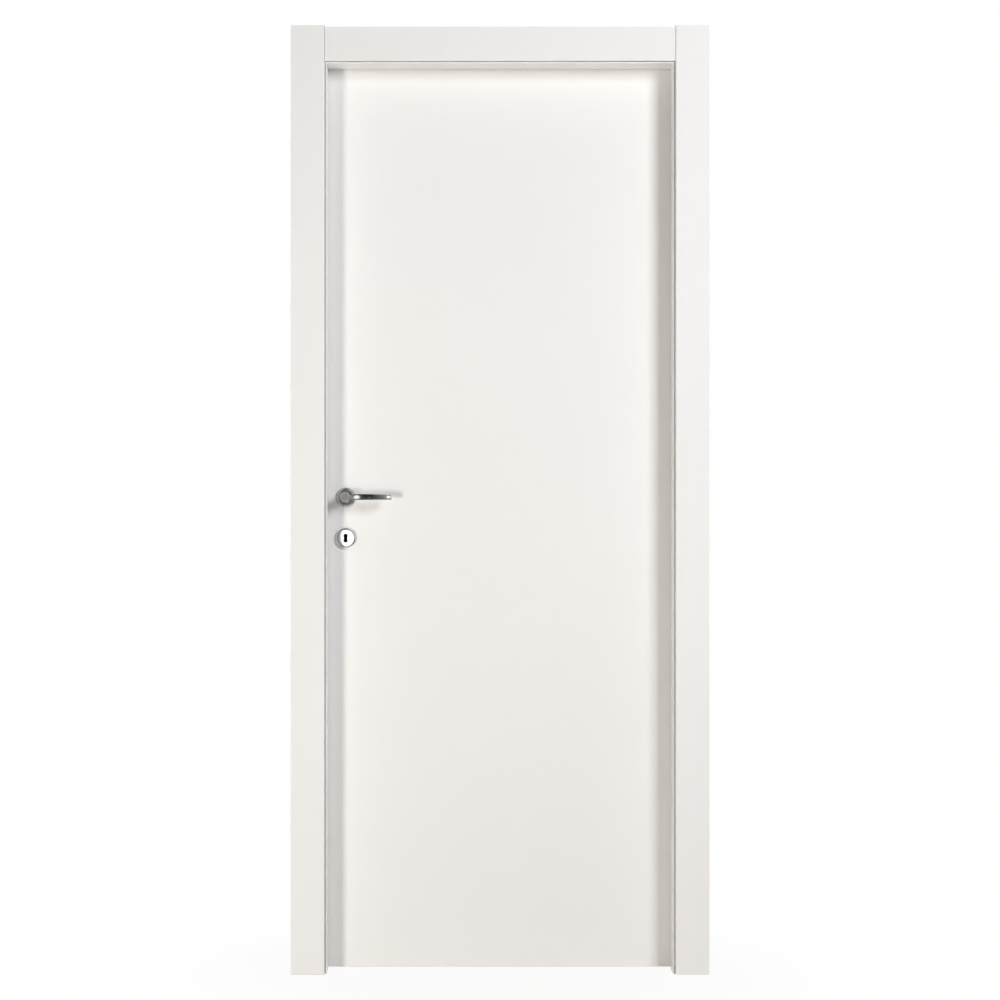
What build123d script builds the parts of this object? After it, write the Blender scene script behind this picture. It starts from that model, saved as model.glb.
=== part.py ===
from build123d import *

import os
from math import cos, radians, sin, sqrt, tan

# Interior door set, in millimetres: a white flush leaf, hung on three butt hinges in a mitred and rebated
# frame with flat casings, with a lever handle on round roses and a round key escutcheon on both sides.
# +Z is up, +X is to the right and +Y leads away from someone who stands on the push side.
# The origin is on the wall face of the hinge jamb, at floor level, in the middle of the wall's thickness.

# Doorway
clear_width = 800.0  # between the two side stops
clear_height = 2100.0  # from the floor to the head stop
wall_thickness = 105.0  # the jambs are as deep as the wall

# Jambs
jamb_thickness = 40.0
jamb_round = 1.5  # rounding of the arrises beside the doorway
stop_overlap = 10.0  # the stop laps this far over the leaf's face
edge_gap = 5.0  # running gap between the leaf's edges and the jambs

# Casings
casing_width = 78.0
casing_thickness = 10.0
casing_inner_round = 3.5
casing_outer_round = 1.5
lip_width = 2.6  # the stops stand proud beside the push side's casings in a narrow lip
lip_projection = 2.0
lip_round = 0.6
shadow_gap = 1.4  # between the lip and the casing
shadow_depth = 8.0  # of the groove behind that gap, in the stop's edge
casing_joint = 0.6  # open joint between the head casing and the side casings
knuckle_clearance = 5.5  # between the hinge knuckles and the pull side's casing
casing_overrun = 3.5  # the side casings stand this far above the head casing
tongue_thickness = 5.0
tongue_inset = 8.5  # from the jamb's wall face to the middle of the tongues
tongue_in_jamb = 16.0
tongue_in_casing = 4.0
tongue_play = 0.2

# Seal between the stops and the leaf
seal_gap = 5.0  # from the stop to the leaf's face
seal_play = 0.3  # between the seal's crown and the leaf's face
seal_width = 8.0
seal_inset = 0.6  # the seal lies this far behind the stop's face
seal_shoulder = 2.4  # height of the seal's straight sides
kerf_width = 3.0
kerf_depth = 7.0
stem_play = 0.1

# Leaf
leaf_thickness = 40.0
leaf_bevel = 3.0  # degrees; the lock edge leans back so that it clears the jamb as it swings
leaf_arris = 0.8
floor_gap = 4.0
skin_thickness = 4.0
hinge_stile_width = 45.0
lock_stile_width = 38.0
lock_block_width = 84.0  # solid block beside the stile, which takes the lock
lock_block_height = 420.0
rail_height = 70.0

# Butt hinges
hinge_height = 100.0
hinge_plate_thickness = 2.5
hinge_plate_width = 30.0
hinge_axis_offset = 7.5  # from the leaf's pull face to the pin's axis
hinge_end_distance = 220.0  # from the leaf's top and bottom to the middle of the end hinges
hinge_knuckles = 5
knuckle_play = 0.3
pin_radius = 3.0
pin_play = 0.05
pin_tip_radius = 4.6
pin_tip_height = 3.5

# Mortise lock
handle_height = 1100.0  # from the floor to the spindle
backset = 50.0  # from the forend's face to the spindle
key_centres = 95.0  # from the spindle down to the keyhole
forend_width = 20.0
forend_height = 236.0
forend_thickness = 3.0
forend_drop = 40.0  # the forend's middle lies this far below the spindle
case_thickness = 14.0
case_height = 170.0
case_depth = 72.0
case_play = 1.0
follower_radius = 6.3  # round hole that the square spindle turns in
bolt_play = 0.2
bolt_length = 34.0
latch_size = (10.0, 22.0)
latch_drop = 4.0  # from the spindle down to the latch's middle
dead_bolt_size = (8.0, 32.0)
dead_bolt_drop = 84.0

# Strike plate
strike_width = 22.0
strike_height = 170.0
strike_thickness = 2.0
strike_pocket_depth = 12.0
strike_pocket_play = 2.0

# Roses and escutcheons
rose_radius = 23.0
rose_height = 8.5
rose_rim = 2.4  # straight rim below the rose's dome
collar_radius = 13.5
collar_height = 1.6
neck_play = 0.3
spindle_bore_radius = 12.5  # hole for the lever's neck through the leaf's skins
escutcheon_radius = 24.0
escutcheon_height = 8.0
escutcheon_rim = 4.0  # straight rim below the rounded edge of its face
escutcheon_round = 4.5  # width of that rounded edge
key_bulb_radius = 5.0  # the keyhole is two round ends joined by a narrower waist
key_bulb_spacing = 11.0
key_waist_width = 8.4
key_bore_width = 16.0  # wider slot behind it, through the leaf
key_bore_height = 28.0

# Lever
neck_radius = 8.0
neck_seat = 6.0  # the neck reaches this far into the rose
hub_radius = 11.6
hub_round = 1.6
hub_projection = 50.0  # from the leaf's face to the hub's front
hub_length = 26.0
lever_reach = 108.0  # from the spindle's axis to the lever's tip
bar_projection = 41.0  # from the leaf's face to the bar's front, at its ends
bar_root = 12.0  # from the spindle's axis to where the bar's bow begins
bar_sink = 6.0  # the bar's root lies this far inside the hub's rim
bar_bow = 20.0  # degrees; the bowed bar leaves its chord at this angle, at both ends
bar_crown = 40.0  # radius of the front's crown, from its top edge to its bottom edge
bar_waist = 14.0  # from the spindle's axis to the end of the narrow waist beside the hub
bar_shoulder = 25.0  # from the spindle's axis to where the bar is highest
waist_height = 6.4
shoulder_height = 14.2
tip_height = 12.4
root_depth = 10.0
tip_depth = 7.6
bar_round = 0.6
spindle_side = 8.0
spindle_play = 0.1
spindle_seat = 32.0  # the spindle reaches this far into each lever

# Places that follow from the sizes above
hinge_stop_x = -jamb_thickness
lock_stop_x = hinge_stop_x - clear_width
frame_height = clear_height + jamb_thickness
frame_width = clear_width + 2 * jamb_thickness
push_edge_y = -wall_thickness / 2
pull_edge_y = wall_thickness / 2
leaf_pull_y = pull_edge_y
leaf_push_y = leaf_pull_y - leaf_thickness
leaf_middle_y = (leaf_pull_y + leaf_push_y) / 2
stop_y = leaf_push_y - seal_gap
rebate_u = stop_overlap + edge_gap
leaf_hinge_x = hinge_stop_x + stop_overlap
leaf_lock_x = lock_stop_x - stop_overlap
leaf_top = clear_height + stop_overlap
leaf_height = leaf_top - floor_gap
hinge_axis_x = leaf_hinge_x + edge_gap / 2
hinge_axis_y = leaf_pull_y + hinge_axis_offset
knuckle_radius = edge_gap / 2 + hinge_plate_thickness
knuckle_height = hinge_height / hinge_knuckles
hinge_heights = {
    "bottom": floor_gap + hinge_end_distance,
    "middle": (floor_gap + leaf_top) / 2,
    "top": leaf_top - hinge_end_distance,
}
casing_reveal = lip_width + shadow_gap
casing_outer_u = casing_reveal + casing_width
pull_casing_u = stop_overlap + edge_gap / 2 + knuckle_radius + knuckle_clearance
pull_casing_width = casing_outer_u - pull_casing_u
casing_top = clear_height + casing_outer_u
tongue_u = jamb_thickness - tongue_inset
groove_width = tongue_thickness + 2 * tongue_play
groove_depth = tongue_in_jamb + tongue_play


def lock_edge_x(y):
    """X of the leaf's bevelled lock edge at a depth y through the leaf."""
    return leaf_lock_x + (leaf_pull_y - y) * tan(radians(leaf_bevel))


spindle_x = lock_edge_x(leaf_middle_y) + backset
keyhole_height = handle_height - key_centres

# The frame's sections are drawn with u across, from the stop's face into the wall, and y through the wall.
hinge_run = Plane(origin=(hinge_stop_x, 0, 0), x_dir=(1, 0, 0), z_dir=(0, 0, 1))
lock_run = Plane(origin=(lock_stop_x, 0, 0), x_dir=(-1, 0, 0), z_dir=(0, 0, -1))
head_run = Plane(origin=(0, 0, clear_height), x_dir=(0, 0, 1), z_dir=(-1, 0, 0))
hinge_mitre = Plane(origin=(hinge_stop_x, 0, clear_height), x_dir=(0, 1, 0), z_dir=(1, 0, -1))
lock_mitre = Plane(origin=(lock_stop_x, 0, clear_height), x_dir=(0, 1, 0), z_dir=(-1, 0, -1))
leaf_middle = Plane(origin=(0, leaf_middle_y, 0), x_dir=(1, 0, 0), z_dir=(0, 1, 0))
# On the bevelled lock edge: x across the edge towards the push side, y up and z out of the leaf.
lock_edge = Plane(
    origin=(lock_edge_x(leaf_middle_y), leaf_middle_y, handle_height),
    x_dir=(sin(radians(leaf_bevel)), -cos(radians(leaf_bevel)), 0),
    z_dir=(-cos(radians(leaf_bevel)), -sin(radians(leaf_bevel)), 0),
)
# On the push face, for turned parts: x is the radius and y stands out of the leaf.
handle_turning = Plane(origin=(spindle_x, leaf_push_y, handle_height), x_dir=(1, 0, 0), z_dir=(0, 0, -1))
keyhole_turning = Plane(origin=(spindle_x, leaf_push_y, keyhole_height), x_dir=(1, 0, 0), z_dir=(0, 0, -1))
handle_axis = Axis((spindle_x, leaf_push_y, handle_height), (0, -1, 0))
keyhole_axis = Axis((spindle_x, leaf_push_y, keyhole_height), (0, -1, 0))
# Upright planes through the leaf's middle, facing the push side.
handle_front = Plane(origin=(spindle_x, leaf_middle_y, handle_height), x_dir=(1, 0, 0), z_dir=(0, -1, 0))
keyhole_front = Plane(origin=(spindle_x, leaf_middle_y, keyhole_height), x_dir=(1, 0, 0), z_dir=(0, -1, 0))

pieces = {}

# Frame sections: the lining board, and the stop planted on it
with BuildSketch() as lining_section:
    with Locations(((rebate_u + jamb_thickness) / 2, 0)):
        Rectangle(jamb_thickness - rebate_u, wall_thickness)
    rebate_arris = lining_section.vertices().group_by(Axis.X)[0].sort_by(Axis.Y)[-1]
    fillet(rebate_arris, radius=jamb_round)
    with Locations(
        (tongue_u, push_edge_y + groove_depth / 2),
        (tongue_u, pull_edge_y - groove_depth / 2),
    ):
        Rectangle(groove_width, groove_depth, mode=Mode.SUBTRACT)

with BuildSketch() as stop_section:
    with Locations((rebate_u / 2, (push_edge_y + stop_y) / 2)):
        Rectangle(rebate_u, stop_y - push_edge_y)
    with Locations((lip_width / 2, push_edge_y - lip_projection / 2)):
        Rectangle(lip_width, lip_projection)
    with Locations((lip_width + shadow_gap / 2, push_edge_y + shadow_depth / 2)):
        Rectangle(shadow_gap, shadow_depth, mode=Mode.SUBTRACT)
    rebate_arris = stop_section.vertices().group_by(Axis.X)[0].sort_by(Axis.Y)[-1]
    fillet(stop_section.vertices().group_by(Axis.Y)[0], radius=lip_round)
    fillet(rebate_arris, radius=jamb_round)
    with Locations((seal_inset + seal_width / 2, stop_y - kerf_depth / 2)):
        Rectangle(kerf_width, kerf_depth, mode=Mode.SUBTRACT)

with BuildSketch() as seal_section:
    crown_y = stop_y + seal_gap - seal_play
    shoulder_y = stop_y + seal_shoulder
    with BuildLine():
        Polyline(
            (seal_inset, shoulder_y),
            (seal_inset, stop_y),
            (seal_inset + seal_width, stop_y),
            (seal_inset + seal_width, shoulder_y),
        )
        ThreePointArc(
            (seal_inset + seal_width, shoulder_y),
            (seal_inset + seal_width / 2, crown_y),
            (seal_inset, shoulder_y),
        )
    make_face()
    stem_length = kerf_depth - stem_play
    with Locations((seal_inset + seal_width / 2, stop_y - stem_length / 2)):
        Rectangle(kerf_width - 2 * stem_play, stem_length)


# Linings, stops and seals: the side runs and the head run meet in mitres
def mitred_runs(section):
    """The hinge side's, the lock side's and the head's run of one section of the frame."""
    with BuildPart() as hinge_side:
        with BuildSketch(hinge_run):
            add(section)
        extrude(amount=frame_height)
        split(bisect_by=hinge_mitre, keep=Keep.TOP)
    with BuildPart() as lock_side:
        with BuildSketch(lock_run):
            add(section)
        extrude(amount=-frame_height)
        split(bisect_by=lock_mitre, keep=Keep.TOP)
    with BuildPart() as head:
        with BuildSketch(head_run):
            add(section)
        extrude(amount=frame_width)
        split(bisect_by=hinge_mitre, keep=Keep.BOTTOM)
        split(bisect_by=lock_mitre, keep=Keep.BOTTOM)
    return hinge_side.part, lock_side.part, head.part


hinge_lining, lock_lining, pieces["head_jamb"] = mitred_runs(lining_section.sketch)
pieces["hinge_stop"], pieces["lock_stop"], pieces["head_stop"] = mitred_runs(stop_section.sketch)
pieces["seal_hinge_side"], pieces["seal_lock_side"], pieces["seal_head"] = mitred_runs(seal_section.sketch)

with BuildPart() as hinge_jamb:
    add(hinge_lining)
    mortise_x = hinge_stop_x + rebate_u + hinge_plate_thickness / 2
    mortise_y = pull_edge_y - hinge_plate_width / 2
    with Locations(*[(mortise_x, mortise_y, height) for height in hinge_heights.values()]):
        Box(hinge_plate_thickness, hinge_plate_width, hinge_height, mode=Mode.SUBTRACT)
pieces["hinge_jamb"] = hinge_jamb.part

# Strike plate, let into the lock jamb over the pockets for the latch and the dead bolt
strike_face = Plane(
    origin=(lock_stop_x - rebate_u, leaf_middle_y, handle_height), x_dir=(0, 1, 0), z_dir=(1, 0, 0)
)
bolt_places = ((latch_size, latch_drop), (dead_bolt_size, dead_bolt_drop))

with BuildSketch(strike_face) as strike_outline:
    with Locations((0, -forend_drop)):
        SlotOverall(strike_height, strike_width, rotation=90)

with BuildSketch(strike_face) as strike_pockets:
    for (bolt_width, bolt_height), drop in bolt_places:
        with Locations((0, -drop)):
            Rectangle(bolt_width + 2 * strike_pocket_play, bolt_height + 2 * strike_pocket_play)

with BuildPart() as lock_jamb:
    add(lock_lining)
    extrude(strike_outline.sketch, amount=-strike_thickness, mode=Mode.SUBTRACT)
    extrude(strike_pockets.sketch, amount=-strike_pocket_depth, mode=Mode.SUBTRACT)
pieces["lock_jamb"] = lock_jamb.part

with BuildPart() as strike_plate:
    extrude(strike_outline.sketch, amount=-strike_thickness)
    extrude(strike_pockets.sketch, amount=-strike_thickness, mode=Mode.SUBTRACT)
pieces["strike_plate"] = strike_plate.part


# Casings: the side boards run past the head board, which is cut square between them
def casing_set(side, inner_u, width, wall_y, outward):
    """The boards on one side of the wall and the tongues that join them to the jambs.

    outward is the side of the wall, -1 or 1 along y.
    """
    with BuildSketch() as board:
        with Locations((inner_u + width / 2, wall_y + outward * casing_thickness / 2)):
            Rectangle(width, casing_thickness)
        front_corners = board.vertices().sort_by(Axis.Y, reverse=outward > 0)[:2]
        inner_arris, outer_arris = front_corners.sort_by(Axis.X)
        fillet(inner_arris, radius=casing_inner_round)
        fillet(outer_arris, radius=casing_outer_round)
    with BuildSketch() as tongue:
        with Locations((tongue_u, wall_y + outward * (tongue_in_casing - tongue_in_jamb) / 2)):
            Rectangle(tongue_thickness, tongue_in_casing + tongue_in_jamb)

    side_height = casing_top + casing_overrun
    head_length = clear_width + 2 * (inner_u - casing_joint)
    board_runs = {
        "left": (lock_run, -side_height),
        "right": (hinge_run, side_height),
        "head": (head_run.offset(casing_joint - hinge_stop_x - inner_u), head_length),
    }
    tongue_runs = (
        (lock_run, -clear_height),
        (hinge_run, clear_height),
        (head_run.offset(-hinge_stop_x), clear_width),
    )
    with BuildPart() as tongues:
        for run, length in tongue_runs:
            with BuildSketch(run):
                add(tongue.sketch)
            extrude(amount=length)
    pieces[f"{side}_casing_tongues"] = tongues.part
    for name, (run, length) in board_runs.items():
        with BuildPart() as casing:
            with BuildSketch(run):
                add(board.sketch)
            extrude(amount=length)
            add(tongues.part, mode=Mode.SUBTRACT)
        pieces[f"{side}_casing_{name}"] = casing.part


casing_set("push", casing_reveal, casing_width, push_edge_y, -1)
casing_set("pull", pull_casing_u, pull_casing_width, pull_edge_y, 1)

# Keyhole outline, and the wider slot bored behind it
with BuildSketch(keyhole_front) as keyhole:
    with GridLocations(0, key_bulb_spacing, 1, 2):
        Circle(key_bulb_radius)
    Rectangle(key_waist_width, key_bulb_spacing)

with BuildSketch(keyhole_front) as key_bore:
    SlotOverall(key_bore_height, key_bore_width, rotation=90)

with BuildSketch(handle_front) as spindle_bore:
    Circle(spindle_bore_radius)


# Leaf: two skins over a frame of stiles and rails, hollow between them
def leaf_plan(y_low, y_high, x_low=None, x_high=None):
    """Plan of a leaf member between two depths; it runs to the leaf's edge on a side where no x is given."""
    left = [lock_edge_x(y) if x_low is None else x_low for y in (y_low, y_high)]
    right = leaf_hinge_x if x_high is None else x_high
    with BuildSketch(Plane.XY.offset(floor_gap)) as plan:
        with BuildLine():
            Polyline((left[0], y_low), (right, y_low), (right, y_high), (left[1], y_high), close=True)
        make_face()
    return plan.sketch


core_push_y = leaf_push_y + skin_thickness
core_pull_y = leaf_pull_y - skin_thickness
lock_stile_x = leaf_lock_x + lock_stile_width
hinge_stile_x = leaf_hinge_x - hinge_stile_width
leaf_mortises = [
    (leaf_hinge_x - hinge_plate_thickness / 2, leaf_pull_y - hinge_plate_width / 2, height)
    for height in hinge_heights.values()
]

with BuildPart() as push_face:
    extrude(leaf_plan(leaf_push_y, core_push_y), amount=leaf_height)
    chamfer(push_face.faces().sort_by(Axis.Y)[0].outer_wire().edges(), length=leaf_arris)
    extrude(spindle_bore.sketch, amount=leaf_thickness, mode=Mode.SUBTRACT)
    extrude(key_bore.sketch, amount=leaf_thickness, mode=Mode.SUBTRACT)
pieces["push_face"] = push_face.part

with BuildPart() as pull_face:
    extrude(leaf_plan(core_pull_y, leaf_pull_y), amount=leaf_height)
    chamfer(pull_face.faces().sort_by(Axis.Y)[-1].outer_wire().edges(), length=leaf_arris)
    extrude(spindle_bore.sketch, amount=-leaf_thickness, mode=Mode.SUBTRACT)
    extrude(key_bore.sketch, amount=-leaf_thickness, mode=Mode.SUBTRACT)
    with Locations(*leaf_mortises):
        Box(hinge_plate_thickness, hinge_plate_width, hinge_height, mode=Mode.SUBTRACT)
pieces["pull_face"] = pull_face.part

with BuildPart() as hinge_stile:
    extrude(leaf_plan(core_push_y, core_pull_y, x_low=hinge_stile_x), amount=leaf_height)
    with Locations(*leaf_mortises):
        Box(hinge_plate_thickness, hinge_plate_width, hinge_height, mode=Mode.SUBTRACT)
pieces["hinge_stile"] = hinge_stile.part

# Outlines on the lock edge, drawn about the spindle's height
mortise_depth = forend_thickness + case_depth + case_play

with BuildSketch(lock_edge) as forend_outline:
    with Locations((0, -forend_drop)):
        SlotOverall(forend_height, forend_width, rotation=90)

with BuildSketch(lock_edge) as case_mortise:
    with Locations((0, -forend_drop)):
        Rectangle(case_thickness + 2 * case_play, case_height + 2 * case_play)

with BuildSketch(lock_edge.offset(-forend_thickness)) as case_outline:
    with Locations((0, -forend_drop)):
        Rectangle(case_thickness, case_height)


def bolt_outline(size, drop, play=0.0):
    """Section of a bolt on the lock edge."""
    with BuildSketch(lock_edge) as outline:
        with Locations((0, -drop)):
            Rectangle(size[0] + 2 * play, size[1] + 2 * play)
    return outline.sketch


with BuildPart() as lock_stile:
    extrude(leaf_plan(core_push_y, core_pull_y, x_high=lock_stile_x), amount=leaf_height)
    extrude(forend_outline.sketch, amount=-forend_thickness, mode=Mode.SUBTRACT)
    extrude(case_mortise.sketch, amount=-mortise_depth, mode=Mode.SUBTRACT)
pieces["lock_stile"] = lock_stile.part

with BuildPart() as lock_block:
    block_x = lock_stile_x + lock_block_width / 2
    with Locations((block_x, leaf_middle_y, handle_height - forend_drop)):
        Box(lock_block_width, core_pull_y - core_push_y, lock_block_height)
    extrude(case_mortise.sketch, amount=-mortise_depth, mode=Mode.SUBTRACT)
    extrude(spindle_bore.sketch, amount=leaf_thickness, both=True, mode=Mode.SUBTRACT)
    extrude(key_bore.sketch, amount=leaf_thickness, both=True, mode=Mode.SUBTRACT)
pieces["lock_block"] = lock_block.part

for rail_name, rail_bottom in (("bottom_rail", floor_gap), ("top_rail", leaf_top - rail_height)):
    with BuildPart() as rail:
        with Locations(((lock_stile_x + hinge_stile_x) / 2, leaf_middle_y, rail_bottom + rail_height / 2)):
            Box(hinge_stile_x - lock_stile_x, core_pull_y - core_push_y, rail_height)
    pieces[rail_name] = rail.part

# Mortise lock: the latch and the dead bolt lie withdrawn, level with the forend
with BuildPart() as lock_forend:
    extrude(forend_outline.sketch, amount=-forend_thickness)
    for size, drop in bolt_places:
        extrude(bolt_outline(size, drop, bolt_play), amount=-forend_thickness, mode=Mode.SUBTRACT)
pieces["lock_forend"] = lock_forend.part

with BuildPart() as lock_case:
    extrude(case_outline.sketch, amount=-case_depth)
    for size, drop in bolt_places:
        extrude(bolt_outline(size, drop, bolt_play), amount=-(bolt_length + bolt_play), mode=Mode.SUBTRACT)
    with BuildSketch(handle_front):
        Circle(follower_radius)
    extrude(amount=leaf_thickness, both=True, mode=Mode.SUBTRACT)
    extrude(keyhole.sketch, amount=leaf_thickness, both=True, mode=Mode.SUBTRACT)
pieces["lock_case"] = lock_case.part

for bolt_name, (size, drop) in zip(("latch_bolt", "dead_bolt"), bolt_places):
    with BuildPart() as bolt:
        extrude(bolt_outline(size, drop), amount=-bolt_length)
    pieces[bolt_name] = bolt.part

# Rose: a turned disc with a domed face and a raised collar round the lever's neck
with BuildPart() as push_rose:
    with BuildSketch(handle_turning):
        neck_bore = neck_radius + neck_play
        collar_top = rose_height + collar_height
        with BuildLine():
            Polyline((neck_bore, collar_top), (neck_bore, 0), (rose_radius, 0), (rose_radius, rose_rim))
            EllipticalCenterArc(
                (collar_radius, rose_rim), rose_radius - collar_radius, rose_height - rose_rim, 0, arc_size=90
            )
            Polyline((collar_radius, rose_height), (collar_radius, collar_top), (neck_bore, collar_top))
        make_face()
    revolve(axis=handle_axis)
pieces["push_rose"] = push_rose.part

# Escutcheon: a turned disc pierced by the keyhole
with BuildPart() as push_escutcheon:
    with BuildSketch(keyhole_turning):
        with BuildLine():
            face_radius = escutcheon_radius - escutcheon_round
            Polyline(
                (0, escutcheon_height),
                (0, 0),
                (escutcheon_radius, 0),
                (escutcheon_radius, escutcheon_rim),
            )
            EllipticalCenterArc(
                (face_radius, escutcheon_rim),
                escutcheon_round,
                escutcheon_height - escutcheon_rim,
                0,
                arc_size=90,
            )
            Line((face_radius, escutcheon_height), (0, escutcheon_height))
        make_face()
    revolve(axis=keyhole_axis)
    extrude(keyhole.sketch, amount=leaf_thickness, mode=Mode.SUBTRACT)
pieces["push_escutcheon"] = push_escutcheon.part


# Lever: a turned hub and a bowed bar, which swells from a narrow waist and tapers to a square-cut tip
bow_tilt = radians(bar_bow)
bar_middle = (bar_root + lever_reach) / 2
bow_radius = (lever_reach - bar_root) / 2 / sin(bow_tilt)
bow_centre = bar_projection - bow_radius * cos(bow_tilt)
bow_axis = Axis((spindle_x + bar_middle, leaf_push_y - bow_centre, handle_height), (0, 0, 1))
bar_start = hub_radius - bar_sink
# Upright plane through the bow's axis: x leads out of the leaf.
bow_section = Plane(origin=bow_axis.position, x_dir=(0, -1, 0), z_dir=(1, 0, 0))

with BuildPart() as push_lever:
    # A ring about the bow's axis, whose outside is the bar's crowned front
    with BuildSketch(bow_section):
        with BuildLine():
            crown_drop = bar_crown - sqrt(bar_crown**2 - shoulder_height**2)
            ring_inside = bow_radius - 3 * root_depth
            Polyline(
                (bow_radius - crown_drop, shoulder_height),
                (ring_inside, shoulder_height),
                (ring_inside, -shoulder_height),
                (bow_radius - crown_drop, -shoulder_height),
            )
            ThreePointArc(
                (bow_radius - crown_drop, -shoulder_height),
                (bow_radius, 0),
                (bow_radius - crown_drop, shoulder_height),
            )
        make_face()
    revolve(axis=bow_axis)
    # Seen from above: the back's own bow, the tip cut square to the bar, and room for the front
    with BuildSketch(handle_turning):
        with BuildLine():
            front_top = bow_centre + bow_radius + root_depth
            tip = (lever_reach, bar_projection)
            back_tip = (tip[0] - tip_depth * sin(bow_tilt), tip[1] - tip_depth * cos(bow_tilt))
            back_root = (bar_root, bar_projection - root_depth)
            back_start = (bar_start, back_root[1] - (bar_root - bar_start) * tan(bow_tilt))
            back_middle = (bar_middle, bow_centre + bow_radius - (root_depth + tip_depth) / 2)
            over_tip = (tip[0] + (front_top - tip[1]) * tan(bow_tilt), front_top)
            Polyline(back_tip, over_tip, (bar_start, front_top), back_start, back_root)
            ThreePointArc(back_root, back_middle, back_tip)
        make_face()
    extrude(amount=shoulder_height, both=True, mode=Mode.INTERSECT)
    # Seen from the front: waist, shoulder and taper
    with BuildSketch(handle_front):
        with BuildLine():
            shoulder_slope = (tip_height - shoulder_height) / 2 / (lever_reach - bar_shoulder)
            Line((0, waist_height / 2), (bar_waist, waist_height / 2))
            Spline(
                (bar_waist, waist_height / 2),
                (bar_shoulder, shoulder_height / 2),
                tangents=((1, 0), (1, shoulder_slope)),
            )
            Line((bar_shoulder, shoulder_height / 2), (lever_reach, tip_height / 2))
            Line((lever_reach, tip_height / 2), (lever_reach, 0))
            Line((0, 0), (0, waist_height / 2))
            mirror(about=Plane.XZ)
        make_face()
    extrude(amount=leaf_thickness + hub_projection, both=True, mode=Mode.INTERSECT)
    bar_edges = push_lever.edges().filter_by(lambda edge: abs(edge.tangent_at(0.5).X) > 0.5)
    tip_edges = push_lever.faces().sort_by(Axis.X)[-1].edges()
    fillet([*bar_edges, *tip_edges], radius=bar_round)
    with BuildSketch(handle_turning):
        with BuildLine():
            hub_back = hub_projection - hub_length
            neck_back = rose_height + collar_height - neck_seat
            Polyline(
                (0, hub_projection),
                (0, neck_back),
                (neck_radius, neck_back),
                (neck_radius, hub_back),
                (hub_radius, hub_back + hub_radius - neck_radius),
                (hub_radius, hub_projection - hub_round),
            )
            RadiusArc(
                (hub_radius, hub_projection - hub_round),
                (hub_radius - hub_round, hub_projection),
                -hub_round,
            )
            Line((hub_radius - hub_round, hub_projection), (0, hub_projection))
        make_face()
    revolve(axis=handle_axis)
    spindle_tip_y = neck_back + spindle_seat + spindle_play
    with BuildSketch(handle_front):
        Rectangle(spindle_side + 2 * spindle_play, spindle_side + 2 * spindle_play)
    extrude(amount=leaf_thickness / 2 + spindle_tip_y, mode=Mode.SUBTRACT)
pieces["push_lever"] = push_lever.part

with BuildPart() as spindle:
    with BuildSketch(handle_front):
        Rectangle(spindle_side, spindle_side)
    extrude(amount=leaf_thickness / 2 + neck_back + spindle_seat, both=True)
pieces["spindle"] = spindle.part

# The pull side repeats the handle, the rose and the escutcheon, mirrored in the leaf's middle
for mirrored_name in ("rose", "escutcheon", "lever"):
    with BuildPart() as pull_piece:
        mirror(pieces[f"push_{mirrored_name}"], about=leaf_middle)
    pieces[f"pull_{mirrored_name}"] = pull_piece.part


# Butt hinges: plates let into the jamb and the leaf, with knuckles that alternate along the pin
def hinge_plate(middle_height, side, own_knuckles):
    """One half of a hinge; side is 1 for the jamb's half and -1 for the leaf's."""
    bottom = middle_height - hinge_height / 2
    plate_x = hinge_axis_x + side * (knuckle_radius - hinge_plate_thickness / 2)
    plate_low_y = pull_edge_y - hinge_plate_width
    plate_high_y = hinge_axis_y - knuckle_radius - knuckle_play
    with BuildPart() as plate:
        with Locations((plate_x, (plate_low_y + plate_high_y) / 2, middle_height)):
            Box(hinge_plate_thickness, plate_high_y - plate_low_y, hinge_height)
        for knuckle in own_knuckles:
            height = knuckle_height - (2 * knuckle_play if side < 0 else 0.0)
            middle = bottom + knuckle_height * (knuckle + 0.5)
            with Locations((plate_x, (plate_low_y + hinge_axis_y) / 2, middle)):
                Box(hinge_plate_thickness, hinge_axis_y - plate_low_y, height)
            with Locations((hinge_axis_x, hinge_axis_y, middle)):
                Cylinder(knuckle_radius, height)
        with Locations((hinge_axis_x, hinge_axis_y, middle_height)):
            Cylinder(pin_radius + pin_play, hinge_height, mode=Mode.SUBTRACT)
    return plate.part


def hinge_pin(middle_height):
    """A pin with a rounded button at each end, seated on the outermost knuckles."""
    with BuildPart() as pin:
        with Locations((hinge_axis_x, hinge_axis_y, middle_height)):
            Cylinder(pin_radius, hinge_height)
        tip_offset = (hinge_height + pin_tip_height) / 2
        with Locations(*[(hinge_axis_x, hinge_axis_y, middle_height + end * tip_offset) for end in (-1, 1)]):
            Cylinder(pin_tip_radius, pin_tip_height)
        rims = pin.edges().filter_by(GeomType.CIRCLE).sort_by(Axis.Z)
        fillet([rims[0], rims[-1]], radius=pin_tip_height / 2)
    return pin.part


for place, height in hinge_heights.items():
    pieces[f"hinge_jamb_plate_{place}"] = hinge_plate(height, 1, range(0, hinge_knuckles, 2))
    pieces[f"hinge_leaf_plate_{place}"] = hinge_plate(height, -1, range(1, hinge_knuckles, 2))
    pieces[f"hinge_pin_{place}"] = hinge_pin(height)

os.makedirs("parts", exist_ok=True)
for piece_name, piece in pieces.items():
    piece.label = piece_name
    export_step(piece, f"parts/{piece_name}.step")
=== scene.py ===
"""Finishes and small fittings of a white flush interior door set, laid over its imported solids."""

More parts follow.
